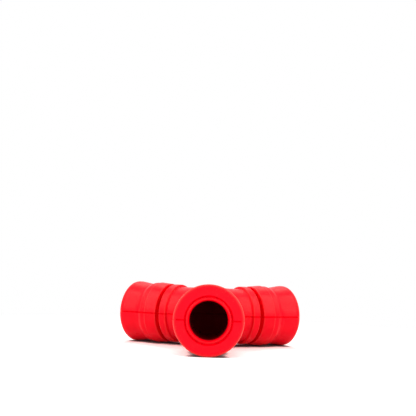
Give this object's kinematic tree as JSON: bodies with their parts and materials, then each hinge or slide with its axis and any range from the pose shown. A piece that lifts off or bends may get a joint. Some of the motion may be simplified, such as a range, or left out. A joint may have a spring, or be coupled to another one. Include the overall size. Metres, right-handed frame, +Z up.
{
  "type": "rubber chew toy",
  "caption": "Hollow Y-shaped rubber dog toy: banded, grooved arms meet in a hub, and a ringed mouth at each end opens into the treat chamber inside.",
  "frame": {"origin": "centre of the hub, where the axes of the bores in the arms meet", "axes": "+Z up, square to the plane of the arms as the toy lies; -Y along the front arm, out of its mouth; +X to the right, between the right arm and its mirror image"},
  "size_m": [0.149, 0.13, 0.05],
  "materials": {
    "shell_rubber": "satin",
    "bond_rubber": "matte",
    "ring_rubber": "satin"
  },
  "bodies": {
    "root": {"upper_shell": "shell_rubber", "lower_shell": "shell_rubber", "bond_strip_front_left": "bond_rubber", "bond_strip_front_right": "bond_rubber", "bond_strip_rear": "bond_rubber", "front_mouth_ring": "ring_rubber", "left_mouth_ring": "ring_rubber", "right_mouth_ring": "ring_rubber"}
  },
  "joints": []
}
